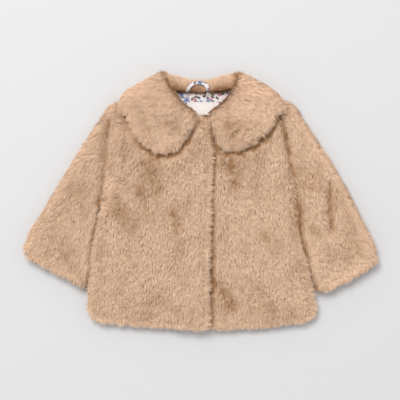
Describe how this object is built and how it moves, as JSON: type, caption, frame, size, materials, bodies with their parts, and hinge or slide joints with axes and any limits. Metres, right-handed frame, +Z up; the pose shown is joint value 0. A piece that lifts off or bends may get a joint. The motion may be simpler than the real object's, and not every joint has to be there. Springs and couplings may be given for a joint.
{
  "type": "child's faux fur coat laid flat",
  "caption": "Short A-line coat in long-pile faux fur, laid flat front up with sleeves spread: round flat collar, concealed front closing, printed lining and hanging loop at the neck.",
  "frame": {"origin": "on the surface that the coat lies on, under the middle of its outline", "axes": "+Y from the hem to the neck, +X to the wearer's left, +Z up from the back to the front"},
  "size_m": [0.5024, 0.3635, 0.034],
  "materials": {
    "fur": "long soft tan acrylic pile, brushed down the coat",
    "lining_print": "plain woven off-white cotton with a small scattered flower print",
    "label_satin": "bare cream woven satin tape"
  },
  "bodies": {
    "root": {"back": "fur", "front_left": "fur", "front_right": "fur", "sleeve_right": "fur", "sleeve_left": "fur", "collar": "fur", "neck_lining": "lining_print", "label": "label_satin", "hanging_loop": "lining_print"}
  },
  "joints": []
}
